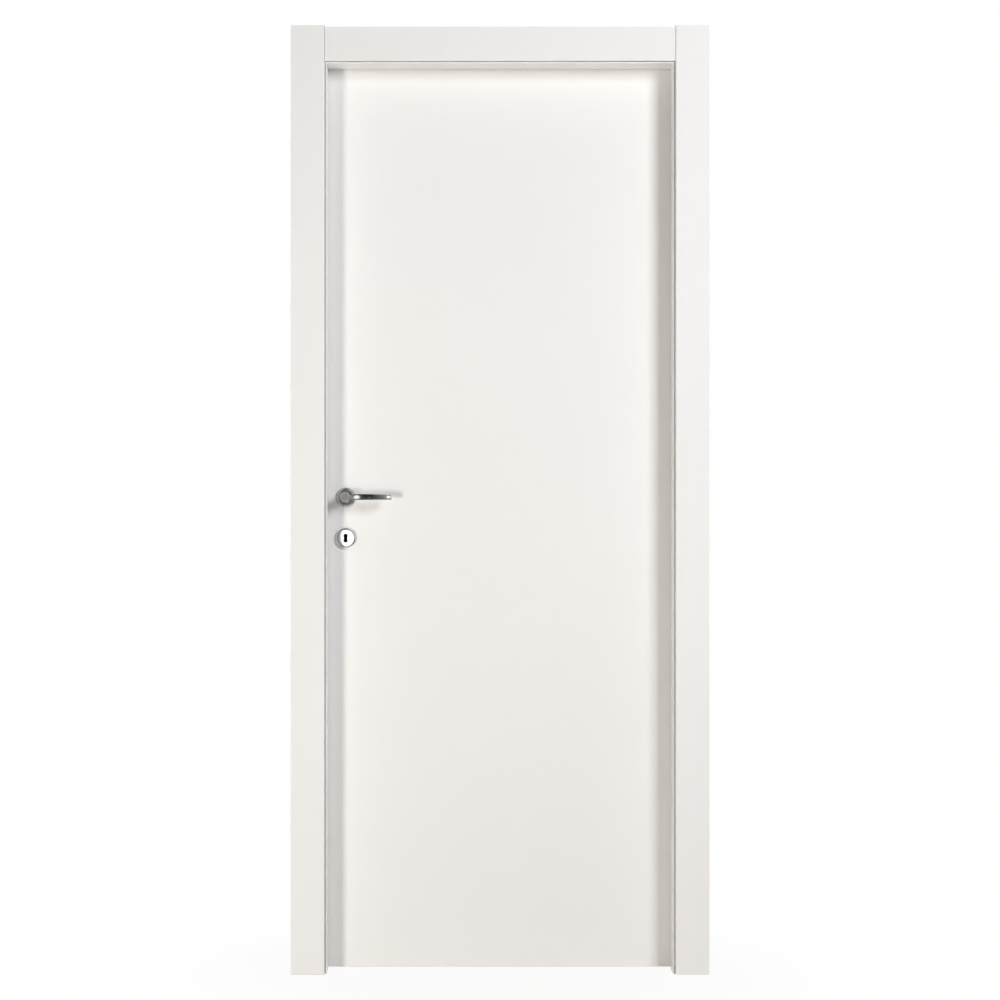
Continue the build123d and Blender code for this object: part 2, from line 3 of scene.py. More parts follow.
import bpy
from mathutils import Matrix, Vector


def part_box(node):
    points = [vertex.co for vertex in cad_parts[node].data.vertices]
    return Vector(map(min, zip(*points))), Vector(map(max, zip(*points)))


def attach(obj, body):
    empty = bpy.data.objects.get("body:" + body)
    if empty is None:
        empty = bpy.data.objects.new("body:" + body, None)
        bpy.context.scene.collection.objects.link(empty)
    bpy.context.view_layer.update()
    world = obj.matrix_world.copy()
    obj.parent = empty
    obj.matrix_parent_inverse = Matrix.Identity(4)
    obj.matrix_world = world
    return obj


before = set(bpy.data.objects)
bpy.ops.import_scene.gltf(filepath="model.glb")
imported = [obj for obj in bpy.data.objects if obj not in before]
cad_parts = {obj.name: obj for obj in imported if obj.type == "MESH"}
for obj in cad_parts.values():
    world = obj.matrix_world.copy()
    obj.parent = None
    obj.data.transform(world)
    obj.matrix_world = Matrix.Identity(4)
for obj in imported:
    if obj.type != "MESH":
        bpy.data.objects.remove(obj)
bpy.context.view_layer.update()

import math

import bpy
import numpy as np
from bpy.props import FloatProperty, FloatVectorProperty, PointerProperty
from mathutils import Vector

bl_info = {
    "name": "Interior door set",
    "version": (1, 0, 0),
    "blender": (4, 5, 0),
    "location": "3D View > Sidebar > Door",
    "description": "Lacquer, metal finishes, screws and a studio for a white flush interior door",
    "category": "Object",
}

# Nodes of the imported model, by what they are made of
LININGS = ("hinge_jamb", "lock_jamb", "head_jamb")
STOPS = ("hinge_stop", "lock_stop", "head_stop")
CASING_BOARDS = ("left", "right", "head")
CASINGS = tuple(f"{side}_casing_{board}" for side in ("push", "pull") for board in CASING_BOARDS)
TONGUES = ("push_casing_tongues", "pull_casing_tongues")
SEALS = ("seal_hinge_side", "seal_lock_side", "seal_head")
SKINS = ("push_face", "pull_face")
EDGES = ("hinge_stile", "lock_stile", "top_rail", "bottom_rail")
HANDLES = ("push_lever", "pull_lever")
ROSES = ("push_rose", "pull_rose")
ESCUTCHEONS = ("push_escutcheon", "pull_escutcheon")
HINGE_PLACES = ("bottom", "middle", "top")

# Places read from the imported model, in metres
LEAF_PUSH_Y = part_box("push_face")[0].y
LEAF_PULL_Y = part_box("pull_face")[1].y
LEAF_MIDDLE_Y = (LEAF_PUSH_Y + LEAF_PULL_Y) / 2
SPINDLE_LOW, SPINDLE_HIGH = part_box("spindle")
HANDLE_X = (SPINDLE_LOW.x + SPINDLE_HIGH.x) / 2
HANDLE_Z = (SPINDLE_LOW.z + SPINDLE_HIGH.z) / 2
ESCUTCHEON_LOW, ESCUTCHEON_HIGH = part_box("push_escutcheon")
KEYHOLE_Z = (ESCUTCHEON_LOW.z + ESCUTCHEON_HIGH.z) / 2
HUB_FRONT = LEAF_MIDDLE_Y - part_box("push_lever")[0].y
HUB_RADIUS = HANDLE_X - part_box("push_lever")[0].x
WALL_FACE_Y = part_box("hinge_jamb")[1].y
FRAME_BACKS = (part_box("lock_jamb")[0].x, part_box("hinge_jamb")[1].x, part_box("head_jamb")[1].z)
OPENING_X = (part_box("hinge_stop")[0].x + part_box("lock_stop")[1].x) / 2


class LacquerSettings(bpy.types.PropertyGroup):
    """Colours and texture of the lacquered and bare wood."""

    leaf_colour: FloatVectorProperty(
        name="Leaf", description="Lacquer on the leaf's faces",
        subtype="COLOR", default=(0.885, 0.877, 0.864),
    )
    frame_colour: FloatVectorProperty(
        name="Frame", description="Lacquer on the frame and casings",
        subtype="COLOR", default=(0.885, 0.877, 0.867),
    )
    edge_colour: FloatVectorProperty(
        name="Edges", description="Lacquer on the leaf's edges",
        subtype="COLOR", default=(0.86, 0.85, 0.83),
    )
    board_colour: FloatVectorProperty(
        name="Bare board", description="Fibreboard that faces the wall",
        subtype="COLOR", default=(0.50, 0.39, 0.27),
    )
    timber_colour: FloatVectorProperty(
        name="Bare timber", description="Softwood inside the leaf",
        subtype="COLOR", default=(0.60, 0.44, 0.26),
    )
    seal_colour: FloatVectorProperty(
        name="Seal", description="Soft seal in the stops",
        subtype="COLOR", default=(0.74, 0.74, 0.72),
    )
    satin: FloatProperty(
        name="Satin", description="Roughness of the lacquer",
        subtype="FACTOR", min=0, max=1, default=0.42,
    )
    peel_size: FloatProperty(
        name="Peel size", description="Width of the spray's ripples",
        unit="LENGTH", default=0.0022,
    )
    peel_depth: FloatProperty(
        name="Peel depth", description="Depth of the spray's ripples",
        unit="LENGTH", default=0.000006,
    )


class MetalSettings(bpy.types.PropertyGroup):
    """Colours and polish of the metal fittings."""

    chrome_colour: FloatVectorProperty(
        name="Chrome", description="Plated levers and escutcheons",
        subtype="COLOR", default=(0.72, 0.72, 0.73),
    )
    rose_colour: FloatVectorProperty(
        name="Roses", description="Darker satin chrome of the roses",
        subtype="COLOR", default=(0.46, 0.46, 0.47),
    )
    cap_colour: FloatVectorProperty(
        name="Caps", description="Flat fronts of the hubs",
        subtype="COLOR", default=(0.60, 0.60, 0.58),
    )
    nickel_colour: FloatVectorProperty(
        name="Nickel", description="Hinges, forend and strike plate",
        subtype="COLOR", default=(0.56, 0.55, 0.53),
    )
    zinc_colour: FloatVectorProperty(
        name="Zinc", description="Lock case, spindle and grub screws",
        subtype="COLOR", default=(0.33, 0.33, 0.34),
    )
    blackened_colour: FloatVectorProperty(
        name="Blackened steel", description="Levers behind the keyhole",
        subtype="COLOR", default=(0.03, 0.03, 0.03),
    )
    lever_roughness: FloatProperty(
        name="Lever roughness", description="Polish of the levers",
        subtype="FACTOR", min=0, max=1, default=0.13,
    )
    plate_roughness: FloatProperty(
        name="Escutcheon roughness", description="Polish of the escutcheons",
        subtype="FACTOR", min=0, max=1, default=0.02,
    )
    rose_roughness: FloatProperty(
        name="Rose roughness", description="Satin of the roses",
        subtype="FACTOR", min=0, max=1, default=0.22,
    )
    cap_roughness: FloatProperty(
        name="Cap roughness", description="Satin front of the hubs",
        subtype="FACTOR", min=0, max=1, default=0.32,
    )
    nickel_roughness: FloatProperty(
        name="Nickel roughness", description="Satin of the nickel",
        subtype="FACTOR", min=0, max=1, default=0.30,
    )


class FittingSettings(bpy.types.PropertyGroup):
    """Sizes of the screws and of the levers inside the lock."""

    hinge_screw_radius: FloatProperty(
        name="Hinge screw", description="Radius of a hinge screw's head",
        unit="LENGTH", default=0.0042,
    )
    lock_screw_radius: FloatProperty(
        name="Lock screw", description="Radius of a forend or strike screw's head",
        unit="LENGTH", default=0.0036,
    )
    grub_screw_radius: FloatProperty(
        name="Grub screw", description="Radius of the screw under a lever's neck",
        unit="LENGTH", default=0.0026,
    )
    crown: FloatProperty(
        name="Crown", description="Height of a screw head's dome",
        unit="LENGTH", default=0.0007,
    )
    lever_thickness: FloatProperty(
        name="Lock lever", description="Thickness of a lever behind the keyhole",
        unit="LENGTH", default=0.0016,
    )


class StageSettings(bpy.types.PropertyGroup):
    """Camera and studio light."""

    camera_place: FloatVectorProperty(
        name="Camera", description="Where the camera stands",
        subtype="XYZ", unit="LENGTH", default=(-0.546, -4.992, 0.996),
    )
    lens: FloatProperty(
        name="Lens", description="Focal length in millimetres",
        unit="CAMERA", default=77.1,
    )
    shift: FloatVectorProperty(
        name="Shift", description="Sideways and upward shift",
        size=2, default=(0.046, 0.042),
    )
    key_power: FloatProperty(
        name="Key", description="Power of the upper right lamp",
        unit="POWER", default=111.0,
    )
    fill_power: FloatProperty(
        name="Fill", description="Power of the left lamp",
        unit="POWER", default=54.0,
    )
    back_power: FloatProperty(
        name="Back", description="Power of the lamps behind",
        unit="POWER", default=100.0,
    )
    glint: FloatProperty(
        name="Glint", description="Strength of the lamps for the chrome",
        min=0, default=1.0,
    )
    ambient: FloatProperty(
        name="Ambient", description="Light from all round",
        min=0, max=1, default=0.02,
    )
    floor_shade: FloatProperty(
        name="Floor shade", description="Share of real shadow in the white floor",
        subtype="FACTOR", min=0, max=1, default=0.08,
    )


class Socket:
    """One output of a node; arithmetic on it adds Math nodes."""

    def __init__(self, maker, socket):
        self.maker = maker
        self.socket = socket

    def math(self, operation, first, second=0.0):
        """The output of a Math node that joins two values."""
        return self.maker.node("ShaderNodeMath", {"operation": operation}, {0: first, 1: second})

    def __add__(self, other):
        return self.math("ADD", self, other)

    def __radd__(self, other):
        return self.math("ADD", other, self)

    def __sub__(self, other):
        return self.math("SUBTRACT", self, other)

    def __rsub__(self, other):
        return self.math("SUBTRACT", other, self)

    def __mul__(self, other):
        return self.math("MULTIPLY", self, other)

    def __rmul__(self, other):
        return self.math("MULTIPLY", other, self)

    def __gt__(self, other):
        return self.math("GREATER_THAN", self, other)

    def __lt__(self, other):
        return self.math("LESS_THAN", self, other)

    def __or__(self, other):
        return self.math("MAXIMUM", self, other)

    def __ror__(self, other):
        return self.math("MAXIMUM", other, self)

    def __abs__(self):
        return self.math("ABSOLUTE", self)


class Shader:
    """The node tree of one material or world while it is made."""

    def __init__(self, owner):
        owner.use_nodes = True
        self.owner = owner
        self.tree = owner.node_tree
        self.tree.nodes.clear()

    def node(self, kind, settings=None, sockets=None, output=0):
        """A new node with its settings, then its sockets' values or links.

        Returns the output that is asked for, or nothing where the node ends the tree.
        """
        made = self.tree.nodes.new(kind)
        for name, value in (settings or {}).items():
            setattr(made, name, value)
        for name, value in (sockets or {}).items():
            if isinstance(value, Socket):
                self.tree.links.new(value.socket, made.inputs[name])
            else:
                made.inputs[name].default_value = value
        if not made.outputs:
            return None
        return Socket(self, made.outputs[output])

    def place(self):
        """Object coordinates, which are the frame's own metres."""
        return self.node("ShaderNodeTexCoord", output="Object")

    def axes(self, place):
        """The three coordinates of a place."""
        split = self.node("ShaderNodeSeparateXYZ", sockets={0: place}, output="X")
        return [Socket(self, output) for output in split.socket.node.outputs]

    def noise(self, place, size, detail=2.0, stretch=(1.0, 1.0, 1.0)):
        """Cloudy values round 0.5, with features of about a size, longer along the stretched axes."""
        scale = [1.0 / (size * factor) for factor in stretch]
        scaled = self.node("ShaderNodeMapping", {"vector_type": "POINT"}, {"Vector": place, "Scale": scale})
        return self.node("ShaderNodeTexNoise", sockets={"Vector": scaled, "Scale": 1.0, "Detail": detail})

    def blend(self, factor, first, second):
        """One colour mixed into another."""
        return self.node("ShaderNodeMix", {"data_type": "RGBA"}, {0: factor, 6: first, 7: second}, 2)

    def bump(self, height, depth):
        """A normal that tilts with a height."""
        return self.node("ShaderNodeBump", sockets={"Distance": depth, "Height": height}, output="Normal")

    def surface(self, **sockets):
        """Ends a material in a Principled shader; socket names are written with underscores."""
        named = {name.replace("_", " "): value for name, value in sockets.items()}
        shader = self.node("ShaderNodeBsdfPrincipled", sockets=named)
        self.node("ShaderNodeOutputMaterial", sockets={"Surface": shader})
        return self.owner


def rgba(colour, brightness=1.0):
    """A colour as Blender's sockets take it."""
    return (*[channel * brightness for channel in colour], 1.0)


def board_fibres(make, place):
    """The felt of short fibres in fibreboard: its height and its colour."""
    colour = bpy.context.scene.door_lacquer.board_colour
    fibre = make.noise(place, size=0.0014, detail=3.0)
    return fibre, make.blend(fibre, rgba(colour, 0.78), rgba(colour, 1.18))


def lacquer(name, colour, bare=None):
    """Sprayed satin lacquer: a slow drift of tone, a fine orange-peel ripple and slightly uneven sheen.

    bare is a function of the three coordinates that is 1 where the board was left unlacquered.
    """
    settings = bpy.context.scene.door_lacquer
    make = Shader(bpy.data.materials.new(name))
    place = make.place()
    drift = make.noise(place, size=0.45)
    cloud = make.noise(place, size=0.05, detail=3.0)
    peel = make.noise(place, settings.peel_size)
    tone = make.blend(drift, rgba(colour, 0.985), rgba(colour, 1.01))
    roughness = settings.satin + 0.10 * (cloud - 0.5)
    height = peel
    if bare is not None:
        added_roughness, fibre_over_peel = 0.4, 12.0
        fibre, board = board_fibres(make, place)
        mask = bare(*make.axes(place))
        tone = make.blend(mask, tone, board)
        roughness = roughness + mask * added_roughness
        height = peel + fibre_over_peel * mask * fibre
    return make.surface(
        Base_Color=tone, Roughness=roughness, Normal=make.bump(height, settings.peel_depth)
    )


def bare_board(name):
    """Sawn fibreboard."""
    make = Shader(bpy.data.materials.new(name))
    fibre, colour = board_fibres(make, make.place())
    return make.surface(Base_Color=colour, Roughness=0.85, Normal=make.bump(fibre, 0.0001))


def bare_timber(name):
    """Planed softwood: upright bands of early and late wood with fine fibres."""
    settings = bpy.context.scene.door_lacquer
    make = Shader(bpy.data.materials.new(name))
    place = make.place()
    bands = make.noise(place, size=0.004, stretch=(1.0, 1.0, 40.0))
    fibre = make.noise(place, size=0.0006, stretch=(1.0, 1.0, 30.0))
    colour = make.blend(bands, rgba(settings.timber_colour, 0.72), rgba(settings.timber_colour, 1.2))
    roughness = 0.7 + 0.2 * (fibre - 0.5)
    return make.surface(Base_Color=colour, Roughness=roughness, Normal=make.bump(fibre, 0.0001))


def soft_seal(name):
    """Moulded seal: a matt skin with faint upright lines and a little dust."""
    settings = bpy.context.scene.door_lacquer
    make = Shader(bpy.data.materials.new(name))
    place = make.place()
    dust = make.noise(place, size=0.012, detail=4.0)
    skin = make.noise(place, size=0.0008, stretch=(1.0, 1.0, 12.0))
    colour = make.blend(dust, rgba(settings.seal_colour, 0.88), rgba(settings.seal_colour, 1.06))
    roughness = 0.6 + 0.15 * (dust - 0.5)
    return make.surface(Base_Color=colour, Roughness=roughness, Normal=make.bump(skin, 0.00006))


def polished_chrome(name, colour, roughness, metallic=1.0):
    """Chrome plate with faint smears; the flat front of each lever's hub is blasted to a pale satin."""
    settings = bpy.context.scene.door_metal
    make = Shader(bpy.data.materials.new(name))
    place = make.place()
    smear = make.noise(place, size=0.02, detail=3.0, stretch=(1.0, 1.0, 0.5))
    grain = make.noise(place, size=0.0004, stretch=(6.0, 1.0, 1.0))
    x, y, z = make.axes(place)
    across, upward = x - HANDLE_X, z - HANDLE_Z
    cap_depth = 0.0003
    on_hub = across * across + upward * upward < HUB_RADIUS**2
    cap = on_hub * (abs(y - LEAF_MIDDLE_Y) > HUB_FRONT - cap_depth)
    satin = settings.cap_roughness - roughness + 0.12 * (grain - 0.5)
    tone = make.blend(smear, rgba(colour, 0.95), rgba(colour, 1.04))
    tone = make.blend(cap, tone, rgba(settings.cap_colour))
    return make.surface(
        Base_Color=tone,
        Metallic=metallic - 0.3 * cap,
        Roughness=roughness * (0.9 + 0.4 * smear) + cap * satin,
    )


def satin_metal(name, colour, roughness, stretch):
    """Brushed plate: fine scratches drawn out along one axis, over a slow drift of tone."""
    make = Shader(bpy.data.materials.new(name))
    place = make.place()
    brush = make.noise(place, size=0.0003, stretch=stretch)
    drift = make.noise(place, size=0.03, detail=3.0)
    tone = make.blend(0.6 * drift + 0.4 * brush, rgba(colour, 0.86), rgba(colour, 1.12))
    return make.surface(
        Base_Color=tone,
        Metallic=1.0,
        Roughness=roughness + 0.18 * (brush - 0.5) + 0.10 * (drift - 0.5),
        Normal=make.bump(brush, 0.000006),
    )


def finish_nodes(material, names):
    """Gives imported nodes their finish."""
    for name in names:
        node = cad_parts[name]
        node.data.materials.clear()
        node.data.materials.append(material)


def new_piece(name, points, faces, material, body=None):
    """A smooth mesh from whole arrays of points and faces, riding on a body where one is named."""
    mesh = bpy.data.meshes.new(name)
    mesh.from_pydata(points.reshape(-1, 3).tolist(), [], [face.tolist() for face in faces])
    mesh.shade_smooth()
    mesh.materials.append(material)
    piece = bpy.data.objects.new(name, mesh)
    bpy.context.scene.collection.objects.link(piece)
    if body is not None:
        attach(piece, body)
    return piece


def grid_faces(rows, columns):
    """Quads of an open grid of points, numbered row by row."""
    row, column = np.meshgrid(np.arange(rows - 1), np.arange(columns - 1), indexing="ij")
    first = row * columns + column
    return np.stack([first, first + columns, first + columns + 1, first + 1], axis=-1).reshape(-1, 4)


def ring_faces(rings, sides):
    """Quads between rings of points, each ring closed on itself; the points are numbered ring by ring."""
    ring, side = np.meshgrid(np.arange(rings - 1), np.arange(sides), indexing="ij")
    first = ring * sides + side
    second = ring * sides + (side + 1) % sides
    return np.stack([first, second, second + sides, first + sides], axis=-1).reshape(-1, 4)


def cross_recess(x, y):
    """1 inside a cross of two tapered slots, 0 outside, for a head of radius 1."""
    half_slot, slot_slope = 0.20, 0.08
    arm, arm_slope = 0.62, 0.10
    aside = np.minimum(np.abs(x), np.abs(y))
    along = np.maximum(np.abs(x), np.abs(y))
    return np.clip((half_slot - aside) / slot_slope, 0, 1) * np.clip((arm - along) / arm_slope, 0, 1)


def hex_recess(x, y):
    """1 inside a hexagon, 0 outside, for a head of radius 1."""
    half_flats, slope = 0.52, 0.08
    turns = np.radians([0, 60, 120])
    across = np.max([np.abs(x * np.cos(turn) + y * np.sin(turn)) for turn in turns], axis=0)
    return np.clip((half_flats - across) / slope, 0, 1)


def screw_heads(name, places, normal, radius, recess, depth, material, body):
    """Screw heads on a flat face, each turned to its own angle.

    A head is a disc of rings: its height is a dome that falls with the square of the radius, less the depth
    of the recess at that point, and a last ring goes down into the plate.
    """
    crown = bpy.context.scene.door_fittings.crown
    rings, sides = 14, 48
    dome_fall, turn_step = 0.75, 2.4
    share = np.concatenate([np.linspace(1 / rings, 1, rings), [1.0]])[:, None]
    angle = np.linspace(0, 2 * math.pi, sides, endpoint=False)[None, :]
    x, y = share * np.cos(angle), share * np.sin(angle)
    height = crown * (1 - dome_fall * share**2) - depth * recess(x, y)
    height[-1] = -crown
    centre_height = crown - depth * recess(np.zeros(1), np.zeros(1))[0]
    flat_x = np.concatenate([[0.0], x.ravel()]) * radius
    flat_y = np.concatenate([[0.0], y.ravel()]) * radius
    heights = np.concatenate([[centre_height], height.ravel()])

    normal = np.array(normal, float)
    across = np.cross((0.0, 0.0, 1.0), normal) if abs(normal[2]) < 0.5 else np.array((1.0, 0.0, 0.0))
    across /= np.linalg.norm(across)
    upward = np.cross(normal, across)
    places = np.array(places, float)
    turns = np.arange(len(places)) * turn_step
    turned_x = np.cos(turns)[:, None] * flat_x - np.sin(turns)[:, None] * flat_y
    turned_y = np.sin(turns)[:, None] * flat_x + np.cos(turns)[:, None] * flat_y
    points = (
        places[:, None, :]
        + turned_x[..., None] * across
        + turned_y[..., None] * upward
        + heights[None, :, None] * normal
    )
    side = np.arange(sides)
    fan = np.stack([np.zeros(sides, int), 1 + side, 1 + (side + 1) % sides], axis=-1)
    walls = 1 + ring_faces(rings + 1, sides)[:, ::-1]
    count = len(flat_x)
    faces = []
    for number in range(len(places)):
        faces.extend(fan + number * count)
        faces.extend(walls + number * count)
    return new_piece(name, points, faces, material, body)


def near_ends(node, margin):
    """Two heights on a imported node, a margin in from its bottom and its top."""
    low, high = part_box(node)
    return low.z + margin, high.z - margin


class DOOR_OT_leaf(bpy.types.Operator):
    """Lacquer the leaf's two faces and its edges"""

    bl_idname = "door.leaf"
    bl_label = "Leaf"

    def execute(self, context):
        settings = context.scene.door_lacquer
        finish_nodes(lacquer("leaf_lacquer", settings.leaf_colour), SKINS)
        finish_nodes(lacquer("edge_lacquer", settings.edge_colour), EDGES)
        finish_nodes(bare_timber("lock_block_timber"), ("lock_block",))
        return {"FINISHED"}


class DOOR_OT_frame(bpy.types.Operator):
    """Lacquer the linings, stops and casings, bare to the wall and floor and in the strike's pockets"""

    bl_idname = "door.frame"
    bl_label = "Frame and casings"

    def execute(self, context):
        colour = context.scene.door_lacquer.frame_colour
        lock_back, hinge_back, head_back = FRAME_BACKS
        strike_low, strike_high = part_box("strike_plate")
        strike_middle, strike_half = (strike_low + strike_high) / 2, (strike_high - strike_low) / 2
        # A point this near to a bare face lies on it
        skin = 0.0004

        def lining_backs(x, y, z):
            backs = (x > hinge_back - skin) | (x < lock_back + skin) | (z > head_back - skin) | (z < skin)
            behind_strike = (x < strike_low.x + skin) * (abs(y - strike_middle.y) < strike_half.y)
            return backs | behind_strike * (abs(z - strike_middle.z) < strike_half.z)

        def casing_backs(x, y, z):
            return (abs(y) < WALL_FACE_Y + skin) | (z < skin)

        def stop_ends(x, y, z):
            return z < skin

        finish_nodes(lacquer("lining_lacquer", colour, lining_backs), LININGS)
        finish_nodes(lacquer("stop_lacquer", colour, stop_ends), STOPS)
        finish_nodes(lacquer("casing_lacquer", colour, casing_backs), CASINGS)
        finish_nodes(bare_board("tongue_board"), TONGUES)
        return {"FINISHED"}


class DOOR_OT_seals(bpy.types.Operator):
    """Finish the soft seals in the stops"""

    bl_idname = "door.seals"
    bl_label = "Seals"

    def execute(self, context):
        finish_nodes(soft_seal("seal_skin"), SEALS)
        return {"FINISHED"}


class DOOR_OT_handles(bpy.types.Operator):
    """Chrome the levers, roses and escutcheons, and add the grub screws under the levers' necks"""

    bl_idname = "door.handles"
    bl_label = "Handles"

    def execute(self, context):
        metal = context.scene.door_metal
        fittings = context.scene.door_fittings
        lever_chrome = polished_chrome("lever_chrome", metal.chrome_colour, metal.lever_roughness)
        finish_nodes(lever_chrome, HANDLES)
        plate_chrome = polished_chrome("plate_chrome", metal.chrome_colour, metal.plate_roughness)
        finish_nodes(plate_chrome, ESCUTCHEONS)
        rose_chrome = polished_chrome("satin_chrome", metal.rose_colour, metal.rose_roughness, metallic=0.8)
        finish_nodes(rose_chrome, ROSES)
        zinc = satin_metal("grub_steel", metal.zinc_colour, 0.35, (1.0, 1.0, 8.0))
        neck_radius, neck_reach, socket_depth = 0.008, 0.0165, 0.0012
        neck_middle = LEAF_MIDDLE_Y - LEAF_PUSH_Y + neck_reach
        places = [
            (HANDLE_X, LEAF_MIDDLE_Y + side * neck_middle, HANDLE_Z - neck_radius) for side in (-1, 1)
        ]
        screw_heads(
            "lever_grub_screws", places, (0, 0, -1), fittings.grub_screw_radius, hex_recess, socket_depth,
            zinc, "lever_set",
        )
        return {"FINISHED"}


class DOOR_OT_lock(bpy.types.Operator):
    """Finish the lock, its forend and strike plate, with their screws and the levers behind the keyhole"""

    bl_idname = "door.lock"
    bl_label = "Lock and strike plate"

    def execute(self, context):
        metal = context.scene.door_metal
        fittings = context.scene.door_fittings
        nickel = satin_metal("lock_nickel", metal.nickel_colour, metal.nickel_roughness, (1.0, 1.0, 40.0))
        zinc = satin_metal("lock_zinc", metal.zinc_colour, 0.42, (1.0, 1.0, 10.0))
        finish_nodes(nickel, ("lock_forend", "latch_bolt", "dead_bolt", "strike_plate"))
        finish_nodes(zinc, ("lock_case", "spindle"))

        screw_radius, cross_depth = fittings.lock_screw_radius, 0.0011
        strike_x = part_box("strike_plate")[1].x
        strike_places = [(strike_x, LEAF_MIDDLE_Y, height) for height in near_ends("strike_plate", 0.010)]
        screw_heads(
            "strike_screws", strike_places, (1, 0, 0), screw_radius, cross_recess, cross_depth,
            nickel, "frame",
        )

        # The leaf's lock edge leans, so the forend and its screws do too
        push_corner, pull_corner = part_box("push_face")[0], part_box("pull_face")[0]
        lean = math.atan2(push_corner.x - pull_corner.x, pull_corner.y - push_corner.y)
        normal = (-math.cos(lean), -math.sin(lean), 0)
        forend_x = pull_corner.x + (LEAF_PULL_Y - LEAF_MIDDLE_Y) * math.tan(lean)
        forend_places = [(forend_x, LEAF_MIDDLE_Y, height) for height in near_ends("lock_forend", 0.011)]
        screw_heads(
            "forend_screws", forend_places, normal, screw_radius, cross_recess, cross_depth,
            nickel, "leaf",
        )
        blackened = satin_metal("lock_lever_steel", metal.blackened_colour, 0.6, (1.0, 1.0, 10.0))
        self.lock_levers(fittings.lever_thickness, blackened)
        return {"FINISHED"}

    def lock_levers(self, thickness, material):
        """Four lever plates that fill the keyhole inside the case.

        Each plate's half width follows the keyhole's outline up its height: the larger of the waist and the
        round end's chord, less a little play. Four corners at each height make a ring, and the rings run
        from end to end.
        """
        bulb, spacing, waist, play = 0.0050, 0.0110, 0.0084, 0.0003
        plates, pitch, levels = 4, 0.0024, 41
        top = spacing / 2 + bulb - play
        height = -top * np.cos(np.linspace(0, math.pi, levels))
        chord = np.sqrt(np.maximum(bulb**2 - (np.abs(height) - spacing / 2) ** 2, 0))
        half = np.where(np.abs(height) < spacing / 2, np.maximum(waist / 2, chord), chord) - play
        half = np.maximum(half, play)
        fronts = LEAF_MIDDLE_Y + (np.arange(plates) - (plates - 1) / 2) * pitch - thickness / 2
        sides = np.array([-1, 1, 1, -1])
        depths = np.array([0, 0, 1, 1])
        points = np.empty((plates, levels, 4, 3))
        points[..., 0] = HANDLE_X + half[None, :, None] * sides
        points[..., 1] = fronts[:, None, None] + thickness * depths
        points[..., 2] = KEYHOLE_Z + height[None, :, None]
        plate = [*ring_faces(levels, 4), np.array([3, 2, 1, 0]), np.arange(4) + 4 * (levels - 1)]
        faces = [face + number * 4 * levels for number in range(plates) for face in plate]
        new_piece("lock_levers", points, faces, material, "leaf")


class DOOR_OT_hinges(bpy.types.Operator):
    """Finish the butt hinges and add their countersunk screws"""

    bl_idname = "door.hinges"
    bl_label = "Hinges"

    def execute(self, context):
        metal = context.scene.door_metal
        radius = context.scene.door_fittings.hinge_screw_radius
        nickel = satin_metal("hinge_nickel", metal.nickel_colour, metal.nickel_roughness, (1.0, 1.0, 40.0))
        halves = {
            "jamb": ("frame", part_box("hinge_jamb")[0].x, (-1, 0, 0)),
            "leaf": ("leaf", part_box("hinge_stile")[1].x, (1, 0, 0)),
        }
        # Screws of one plate: in two rows by turns, at four levels about the pin's middle
        rows = (0.009, 0.021)
        levels = (-0.036, -0.012, 0.012, 0.036)
        cross_depth = 0.0012
        finish_nodes(nickel, [f"hinge_pin_{place}" for place in HINGE_PLACES])
        for half, (body, face_x, normal) in halves.items():
            places = []
            for place in HINGE_PLACES:
                finish_nodes(nickel, (f"hinge_{half}_plate_{place}",))
                plate_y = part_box(f"hinge_{half}_plate_{place}")[0].y
                pin_low, pin_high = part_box(f"hinge_pin_{place}")
                middle = (pin_low.z + pin_high.z) / 2
                for number, level in enumerate(levels):
                    places.append((face_x, plate_y + rows[number % 2], middle + level))
            screw_heads(
                f"hinge_{half}_screws", places, normal, radius, cross_recess, cross_depth,
                nickel, body,
            )
        return {"FINISHED"}


